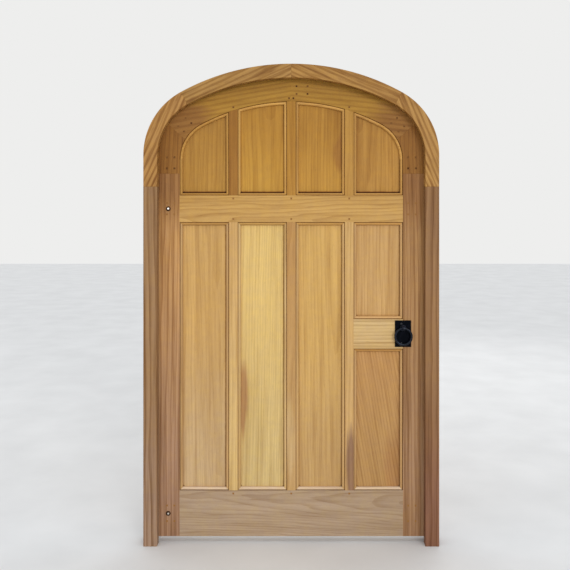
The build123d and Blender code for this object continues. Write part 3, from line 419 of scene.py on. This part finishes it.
bead_tones = {
    "bead_upper_1": (186, 138, 68), "bead_upper_2": (200, 152, 80), "bead_upper_3": (198, 150, 80),
    "bead_upper_4": (194, 146, 78), "bead_lower_1": (196, 156, 104), "bead_lower_2": (210, 174, 118),
    "bead_lower_3": (204, 164, 108), "bead_above_lock_rail": (202, 160, 106),
    "bead_below_lock_rail": (196, 154, 102),
}
# Painted light and shade: each length of bead is made lighter or darker by the side of the panel it stands
# on, and the sills of the low panels are painted as if lit from above.
painted_light_by_side = {"left": (0.95, 0.95, 0.95), "right": (0.97, 0.97, 0.97), "foot": (1.03, 1.03, 1.03),
                "head": (0.92, 0.86, 0.7), "arch": (1.01, 1.01, 1.01)}
painted_lit_sill = (212, 184, 152)
bare_wood = 0
in_painted_groove_shade = 1
in_deep_painted_shade = 2
for number, (node, tone) in enumerate(bead_tones.items()):
    round_bead = merged_copy(node, "round_" + node)
    corners = [corner.co for corner in round_bead.data.vertices]
    middle = [(max(corner[axis] for corner in corners) + min(corner[axis] for corner in corners)) / 2
              for axis in range(3)]
    round_edges(round_bead, bead_back, back_rounding, 3)
    round_edges(round_bead, bead_shoulder, shoulder_rounding, 2)
    bpy.ops.object.mode_set(mode="EDIT")
    bpy.ops.mesh.select_all(action="SELECT")
    bpy.ops.mesh.separate(type="LOOSE")
    bpy.ops.object.mode_set(mode="OBJECT")
    heart = (0.02 * number, 0.05, 0.7 + 0.1 * number)
    for length in list(bpy.context.selected_objects):
        corners = [corner.co for corner in length.data.vertices]
        low = [min(corner[axis] for corner in corners) for axis in range(3)]
        high = [max(corner[axis] for corner in corners) for axis in range(3)]
        upright = high[2] - low[2] > high[0] - low[0]
        if upright:
            side = "left" if (low[0] + high[0]) / 2 < middle[0] else "right"
        else:
            side = "foot" if (low[2] + high[2]) / 2 < middle[2] else "head"
        if side == "head" and "upper" in node:
            side = "arch"
        own = tuple(part * share for part, share in zip(tone, painted_light_by_side[side]))
        if side == "foot" and ("lower" in node or "below" in node):
            own = painted_lit_sill
        grain = 0 if upright else 90
        wood = timber(node + "_" + side, own, own, (0.2, 0.6), grain, heart, 0.01, 0.2, streaks=0.45)
        shaded_foot = side == "foot" and "upper" in node
        length.data.materials.clear()
        length.data.materials.append(wood)
        length.data.materials.append(painted_groove_shade)
        length.data.materials.append(deep_painted_shade)
        # Painted shade: the floor of the sunk line takes the groove shade on all but the left-hand lengths,
        # as does the wall towards the panel on the right-hand lengths. On the feet of the arched panels, the
        # wall and the faces turned up take the deeper shade.
        for face in length.data.polygons:
            depths = [length.data.vertices[corner].co.y for corner in face.vertices]
            sunk = min(depths) > quirk_floor - 0.0003
            level_floor = max(depths) < quirk_floor + 0.0003
            if sunk and level_floor and side != "left":
                face.material_index = in_painted_groove_shade
            elif sunk and side == "right":
                face.material_index = in_painted_groove_shade
            elif shaded_foot and (sunk or face.normal.z > 0.5):
                face.material_index = in_deep_painted_shade
            else:
                face.material_index = bare_wood
    bpy.context.view_layer.objects.active = round_bead
    bpy.ops.object.join()
    bpy.ops.object.shade_smooth_by_angle(angle=math.radians(35))
    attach(round_bead, "leaf")
    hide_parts(node)


# Pegs. Square oak pegs driven through the joints of frame and leaf and cut off flush. Their end grain drinks
# more oil than the boards, so they show as small dark spots, lighter again lower down.
def end_grain(name):
    """Dark oiled end grain, lighter below the arch and here and there within it."""
    material, shader = new_finish(name)
    place = put(material, "TexCoord", {}).outputs["Object"]
    pores = put(material, "TexNoise", {"Vector": place, "Scale": 900.0, "Detail": 4.0}).outputs["Fac"]
    spread = put(material, "TexNoise", {"Vector": place, "Scale": 40.0, "Detail": 1.0}).outputs["Fac"]
    colour = band(material, pores, [(0.3, paint(60, 34, 14)), (0.5, paint(92, 56, 26)),
                                    (0.7, paint(118, 76, 38))])
    shade = band(material, spread, [(0.35, (0.7, 0.7, 0.7)), (0.65, (1.1, 1.1, 1.1))])
    colour = blend(material, "MULTIPLY", 1.0, colour, shade)
    level = put(material, "SeparateXYZ", {"Vector": place}).outputs["Z"]
    low_down = put(material, "MapRange", {"Value": level, "From Min": 1.56, "From Max": 1.5})
    dry = put(material, "MapRange", {"Value": spread, "From Min": 0.46, "From Max": 0.58, "To Max": 0.45})
    share = put(material, "Math", {0: low_down.outputs["Result"], 1: dry.outputs["Result"]},
                operation="MAXIMUM").outputs[0]
    lighter_grain = band(material, pores, [(0.3, paint(128, 86, 42)), (0.7, paint(164, 118, 66))])
    colour = blend(material, "MIX", share, colour, lighter_grain)
    relief = put(material, "Bump", {"Height": pores, "Strength": 0.4, "Distance": 0.0004})
    material.node_tree.links.new(colour, shader.inputs["Base Color"])
    material.node_tree.links.new(relief.outputs["Normal"], shader.inputs["Normal"])
    shader.inputs["Roughness"].default_value = 0.7
    shader.inputs["Specular IOR Level"].default_value = 0.1
    return material


peg_finish = end_grain("peg_end_grain")
finish_in("frame_pegs", peg_finish)
finish_in("leaf_pegs", peg_finish)


# Hinges. Forged bands with a rolled eye hang on hooks that are screwed to the back of the jamb. Both are
# blackened iron, a little rough from the hammer, and rubbed bare where they bear on each other.
def iron(name, dark, worn, roughness, dent=0.5, gleam=0.22):
    """Blackened iron: dark is its skin, worn what shows where it is rubbed, dent how deep the hammer went and
    gleam how much light its skin throws back."""
    material, shader = new_finish(name)
    place = put(material, "TexCoord", {}).outputs["Object"]
    hammer = put(material, "TexVoronoi", {"Vector": place, "Scale": 150.0, "Smoothness": 1.0},
                 feature="SMOOTH_F1").outputs["Distance"]
    scale = put(material, "TexNoise", {"Vector": place, "Scale": 260.0, "Detail": 5.0,
                                       "Roughness": 0.65}).outputs["Fac"]
    rubbed = put(material, "TexNoise", {"Vector": place, "Scale": 45.0, "Detail": 3.0}).outputs["Fac"]
    colour = band(material, rubbed, [(0.45, paint(*dark)), (0.72, paint(*worn))])
    specks = band(material, scale, [(0.35, (0.75, 0.75, 0.78)), (0.65, (1.25, 1.22, 1.2))])
    colour = blend(material, "MULTIPLY", 0.7, colour, specks)
    gloss = put(material, "MapRange", {"Value": scale, "To Min": roughness - 0.12,
                                       "To Max": roughness + 0.12}).outputs["Result"]
    relief = put(material, "Bump", {"Height": hammer, "Strength": dent, "Distance": 0.0008})
    grit = put(material, "Bump", {"Height": scale, "Strength": 0.25, "Distance": 0.0003,
                                  "Normal": relief.outputs["Normal"]})
    links = material.node_tree.links
    links.new(colour, shader.inputs["Base Color"])
    links.new(gloss, shader.inputs["Roughness"])
    links.new(grit.outputs["Normal"], shader.inputs["Normal"])
    shader.inputs["Specular IOR Level"].default_value = gleam
    shader.inputs["Specular Tint"].default_value = (0.72, 0.82, 1.0, 1.0)
    return material


hinge_finish = iron("blackened_hinge_iron", (38, 38, 40), (66, 62, 58), 0.5)
for node in ("hinge_band_upper", "hinge_band_lower", "hinge_hook_upper", "hinge_hook_lower"):
    ease(finish_in(node, hinge_finish), 0.0006)

# Bolts and nuts. Each band is held by one through bolt. Its polished dark domed head shows on the face of the
# hinge stile with a painted highlight on it, and a hexagon nut draws it tight on the band inside.
bolt_x = -0.5145
bolt_levels = (1.3947, 0.1207)
bolt_radius = 0.006
bolt_tip = 0.050
head_radius = 0.010
head_seat = -0.020
head_face = head_seat - 0.005
dome_rounding = 0.0046
tip_rounding = 0.0012
bolt_shine, bolt_shader = new_finish("bolt_steel_painted_highlight")
bolt_place = put(bolt_shine, "TexCoord", {}).outputs["Object"]
turning = put(bolt_shine, "TexNoise", {"Vector": bolt_place, "Scale": 700.0, "Detail": 3.0}).outputs["Fac"]
dark_steel = band(bolt_shine, turning, [(0.3, paint(66, 48, 36)), (0.7, paint(92, 70, 54))])
painted_highlight_steel = band(bolt_shine, turning, [(0.3, paint(232, 226, 216)), (0.7, paint(250, 247, 240))])
# Painted highlight: a bright spot a little above and to the right of the middle of each dome.
highlight_spots = []
for level in bolt_levels:
    middle = (bolt_x + 0.0006, head_face, level + 0.0006)
    spot = put(bolt_shine, "Mapping", {"Vector": bolt_place, "Location": middle,
                                       "Scale": (0.0054, 0.01, 0.0054)}, vector_type="TEXTURE").outputs[0]
    highlight_spots.append(put(bolt_shine, "TexGradient", {"Vector": spot}, gradient_type="SPHERICAL").outputs["Fac"])
crown = put(bolt_shine, "Math", {0: highlight_spots[0], 1: highlight_spots[1]}, operation="MAXIMUM").outputs[0]
highlight_share = band(bolt_shine, crown, [(0.2, (0, 0, 0)), (0.55, (1, 1, 1))])
steel_tone = blend(bolt_shine, "MIX", highlight_share, dark_steel, painted_highlight_steel)
bolt_gloss = put(bolt_shine, "MapRange", {"Value": turning, "To Min": 0.12, "To Max": 0.22}).outputs["Result"]
bolt_shine.node_tree.links.new(steel_tone, bolt_shader.inputs["Base Color"])
bolt_shine.node_tree.links.new(bolt_gloss, bolt_shader.inputs["Roughness"])
bolt_shader.inputs["Metallic"].default_value = 1.0


def turned(radius, near, far, x, z, sides=48):
    """A round bar that lies front to back, from near to far, with its end faces."""
    bpy.ops.object.select_all(action="DESELECT")
    bpy.ops.mesh.primitive_cylinder_add(vertices=sides, radius=radius, depth=far - near,
                                        location=(x, (near + far) / 2, z), rotation=(math.pi / 2, 0, 0))
    bpy.ops.object.transform_apply(location=True, rotation=True, scale=True)
    return bpy.context.object


def rim_at(depth):
    """Picks the round edge of a turned bar at that depth."""
    def wanted(mesh, first, second, faces):
        return abs(first.y - depth) < 0.00001 and abs(second.y - depth) < 0.00001
    return wanted


def copied(piece, x_step, z_step):
    """A copy of a piece with its own mesh, moved along and up by those steps."""
    bpy.ops.object.select_all(action="DESELECT")
    piece.select_set(True)
    bpy.context.view_layer.objects.active = piece
    bpy.ops.object.duplicate(linked=False)
    bpy.ops.transform.translate(value=(x_step, 0, z_step))
    bpy.ops.object.transform_apply(location=True, rotation=False, scale=False)
    return bpy.context.object


def joined(pieces, name, material, body, slot, *nodes):
    """The pieces as one object of that name and material, riding on its body in place of the CAD nodes."""
    bpy.ops.object.select_all(action="DESELECT")
    for piece in pieces:
        piece.select_set(True)
    bpy.context.view_layer.objects.active = pieces[0]
    if len(pieces) > 1:
        bpy.ops.object.join()
    whole = bpy.context.object
    whole.name = name
    whole.data.materials.clear()
    whole.data.materials.append(material)
    bpy.ops.object.shade_smooth_by_angle(angle=math.radians(32))
    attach(whole, body)
    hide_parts(*nodes)


dome = turned(head_radius, head_face, head_seat, bolt_x, bolt_levels[0])
round_edges(dome, rim_at(head_face), dome_rounding, 7)
shank = turned(bolt_radius, head_seat, bolt_tip, bolt_x, bolt_levels[0], 32)
round_edges(shank, rim_at(bolt_tip), tip_rounding, 2)
way_down = bolt_levels[1] - bolt_levels[0]
bolt_parts = [dome, shank, copied(dome, 0, way_down), copied(shank, 0, way_down)]
joined(bolt_parts, "domed_bolts", bolt_shine, "leaf", "bolt_steel", "band_bolts")
nut_finish = iron("dark_nut_iron", (58, 57, 56), (104, 100, 94), 0.42, dent=0.2)
ease(finish_in("band_nuts", nut_finish), 0.0008)


# Wood screws. Plates, hooks, bands, guide and catch are fixed with round-headed slotted screws, turned and
# blackened like the irons that they hold, each driven home to an angle of its own.
def screw_places(node):
    """Where each screw of a CAD node stands, and the depths that it reaches from front to back."""
    merged_copy(node, node + "_copy")
    bpy.ops.object.mode_set(mode="EDIT")
    bpy.ops.mesh.select_all(action="SELECT")
    bpy.ops.mesh.separate(type="LOOSE")
    bpy.ops.object.mode_set(mode="OBJECT")
    places = []
    for screw in list(bpy.context.selected_objects):
        corners = [corner.co for corner in screw.data.vertices]
        low = Vector([min(corner[axis] for corner in corners) for axis in range(3)])
        high = Vector([max(corner[axis] for corner in corners) for axis in range(3)])
        places.append(((low.x + high.x) / 2, (low.z + high.z) / 2, low.y, high.y))
    bpy.ops.object.delete()
    return sorted(places)


screw_finish = iron("screw_iron", (34, 34, 37), (92, 88, 84), 0.38, dent=0.15)
screw_head_radius = 0.0048
screw_head_thickness = 0.002
screw_head_rounding = 0.0014
screw_shank_radius = 0.0024
slot_size = (0.012, 0.0016, 0.0011)


def blank_screw(face, point, outside):
    """A round head and its shank, not yet slotted, between the depths of its face and its point."""
    seat = face - outside * screw_head_thickness
    head = turned(screw_head_radius, min(face, seat), max(face, seat), 0, 0, 24)
    round_edges(head, rim_at(face), screw_head_rounding, 3)
    shank = turned(screw_shank_radius, min(seat, point), max(seat, point), 0, 0, 12)
    return head, shank


def slotted_screws(node, name, body, outside):
    """Copies of a blank screw in the CAD screws' places, each slotted at an angle of its own. outside is -1
    on the front and 1 on the back."""
    blanks = {}
    pieces = []
    for number, (x, z, low, high) in enumerate(screw_places(node)):
        face, point = (low, high) if outside < 0 else (high, low)
        length = round(high - low, 4)
        if length not in blanks:
            blanks[length] = blank_screw(face, point, outside)
        blank_head, blank_shank = blanks[length]
        head = copied(blank_head, x, z)
        pieces += [head, copied(blank_shank, x, z)]
        bpy.ops.object.select_all(action="DESELECT")
        bpy.ops.mesh.primitive_cube_add(size=1, location=(x, face, z),
                                        rotation=(0, math.radians(35 + 47 * number), 0))
        bpy.ops.transform.resize(value=slot_size, orient_type="LOCAL")
        blade = bpy.context.object
        cut = head.modifiers.new("Slot", "BOOLEAN")
        cut.object = blade
        cut.operation = "DIFFERENCE"
        cut.solver = "EXACT"
        bpy.context.view_layer.objects.active = head
        bpy.ops.object.modifier_apply(modifier="Slot")
        bpy.data.objects.remove(blade)
    for blank_head, blank_shank in blanks.values():
        bpy.data.objects.remove(blank_head)
        bpy.data.objects.remove(blank_shank)
    joined(pieces, name, screw_finish, body, "screw_iron", node)


slotted_screws("hook_screws", "hook_slotted_screws", "frame", 1)
slotted_screws("catch_screws", "catch_slotted_screws", "frame", 1)
slotted_screws("band_screws", "band_slotted_screws", "leaf", 1)
slotted_screws("front_plate_screws", "plate_slotted_screws", "leaf", -1)
slotted_screws("rear_screws", "rear_slotted_screws", "leaf", 1)

# Ring latch, front. A thin black plate with a turned collar and an eye on the spindle's end, and a heavy drop
# ring that hangs in the eye. All are wrought and waxed to a satin blue black.
latch_finish = iron("waxed_latch_iron", (4, 5, 9), (11, 12, 20), 0.3, dent=0.5, gleam=0.05)
ring_finish = iron("handled_ring_iron", (6, 8, 14), (16, 20, 38), 0.28, dent=0.6, gleam=0.3)
ease(finish_in("front_plate", latch_finish), 0.0007)
spindle_x = 0.467
spindle_z = 0.8967
eye_y = -0.037
ring_radius = 0.034
wire_radius = 0.0047
foot_swelling = 0.0006
bpy.ops.object.select_all(action="DESELECT")
bpy.ops.mesh.primitive_torus_add(major_radius=ring_radius, minor_radius=wire_radius, major_segments=96,
                                 minor_segments=20, location=(spindle_x, eye_y, spindle_z - ring_radius),
                                 rotation=(math.pi / 2, 0, 0))
bpy.ops.object.transform_apply(location=True, rotation=True, scale=True)
drop_ring = bpy.context.object
bpy.ops.object.mode_set(mode="EDIT")
bpy.ops.mesh.select_mode(type="VERT")
bpy.ops.mesh.select_all(action="DESELECT")
bpy.ops.object.mode_set(mode="OBJECT")
for corner in drop_ring.data.vertices:
    corner.select = corner.co.z < spindle_z - 2 * ring_radius
bpy.ops.object.mode_set(mode="EDIT")
bpy.ops.transform.shrink_fatten(value=foot_swelling, use_proportional_edit=True,
                                proportional_edit_falloff="SMOOTH", proportional_size=0.035)
bpy.ops.object.mode_set(mode="OBJECT")
joined([drop_ring], "drop_ring", ring_finish, "ring", "latch_iron", "latch_ring")
ease(finish_in("latch_spindle", ring_finish), 0.0009)

# Ring latch, back. A plate, a bar on the spindle's square end with its nut, a guide that keeps the bar to the
# stile and a catch on the jamb, all of the same waxed iron.
bar_finish = iron("bar_iron", (30, 31, 35), (70, 68, 66), 0.4, dent=0.35)
for node in ("rear_plate", "bar_guide", "latch_bar", "latch_catch"):
    ease(finish_in(node, bar_finish), 0.0006)
ease(finish_in("spindle_nut", nut_finish), 0.0008)

# Ground and light. The gate stands on a plain pale floor in soft daylight that comes mostly from the front, a
# little from the right and above. The camera stands at head height, square on to it.
bpy.ops.object.select_all(action="DESELECT")
bpy.ops.mesh.primitive_plane_add(size=26, location=(0, 2, 0))
floor = bpy.context.object
floor.name = "floor"
floor_finish, floor_shader = new_finish("pale_floor")
floor_place = put(floor_finish, "TexCoord", {}).outputs["Object"]
mottle = put(floor_finish, "TexNoise", {"Vector": floor_place, "Scale": 3.0, "Detail": 4.0}).outputs["Fac"]
floor_tone = band(floor_finish, mottle, [(0.3, paint(222, 221, 219)), (0.7, paint(230, 229, 227))])
floor_finish.node_tree.links.new(floor_tone, floor_shader.inputs["Base Color"])
floor_shader.inputs["Roughness"].default_value = 0.9
floor.data.materials.append(floor_finish)


def lamp(name, kind, place, aim, power):
    """A lamp that looks at a point."""
    light = bpy.data.lights.new(name, kind)
    light.energy = power
    holder = bpy.data.objects.new(name, light)
    holder.location = place
    holder.rotation_euler = (Vector(aim) - Vector(place)).to_track_quat("-Z", "Y").to_euler()
    bpy.context.collection.objects.link(holder)
    return light


sun_side = lamp("sun_side_lamp", "SUN", (4.0, -9.5, 4.4), (0, 0, 1.0), 0.85)
sun_side.angle = math.radians(21)
front = lamp("front_lamp", "SUN", (-1.0, -9.0, 1.8), (0, 0, 0.8), 0.21)
front.angle = math.radians(28)
back = lamp("back_lamp", "AREA", (1.5, 4.0, 3.2), (0, 0, 1.0), 30)
back.size = 2.5

world = bpy.data.worlds.new("pale_day")
bpy.context.scene.world = world
world.use_nodes = True
daylight = world.node_tree.nodes["Background"]
daylight.inputs["Color"].default_value = (0.93, 0.96, 1.0, 1)
daylight.inputs["Strength"].default_value = 0.9
backdrop = put(world, "Background", {"Color": paint(238, 238, 237)}).outputs[0]
rays = put(world, "LightPath", {}).outputs
seen = put(world, "Math", {0: rays["Is Camera Ray"], 1: rays["Is Transmission Ray"]},
           operation="MAXIMUM").outputs[0]
seen_or_mirrored = put(world, "Math", {0: seen, 1: rays["Is Glossy Ray"]}, operation="MAXIMUM").outputs[0]
chosen = put(world, "MixShader", {0: seen_or_mirrored, 1: daylight.outputs[0], 2: backdrop}).outputs[0]
world.node_tree.links.new(chosen, world.node_tree.nodes["World Output"].inputs["Surface"])

viewer = bpy.data.cameras.new("viewer")
viewer.lens = 45.9
viewer.sensor_width = 36
viewer.shift_x = -0.011
viewer.shift_y = -0.136
stand = bpy.data.objects.new("viewer", viewer)
stand.location = (0, -3.06, 1.4)
stand.rotation_euler = (math.pi / 2, 0, 0)
bpy.context.collection.objects.link(stand)
bpy.context.scene.camera = stand
bpy.context.scene.view_settings.view_transform = "Standard"
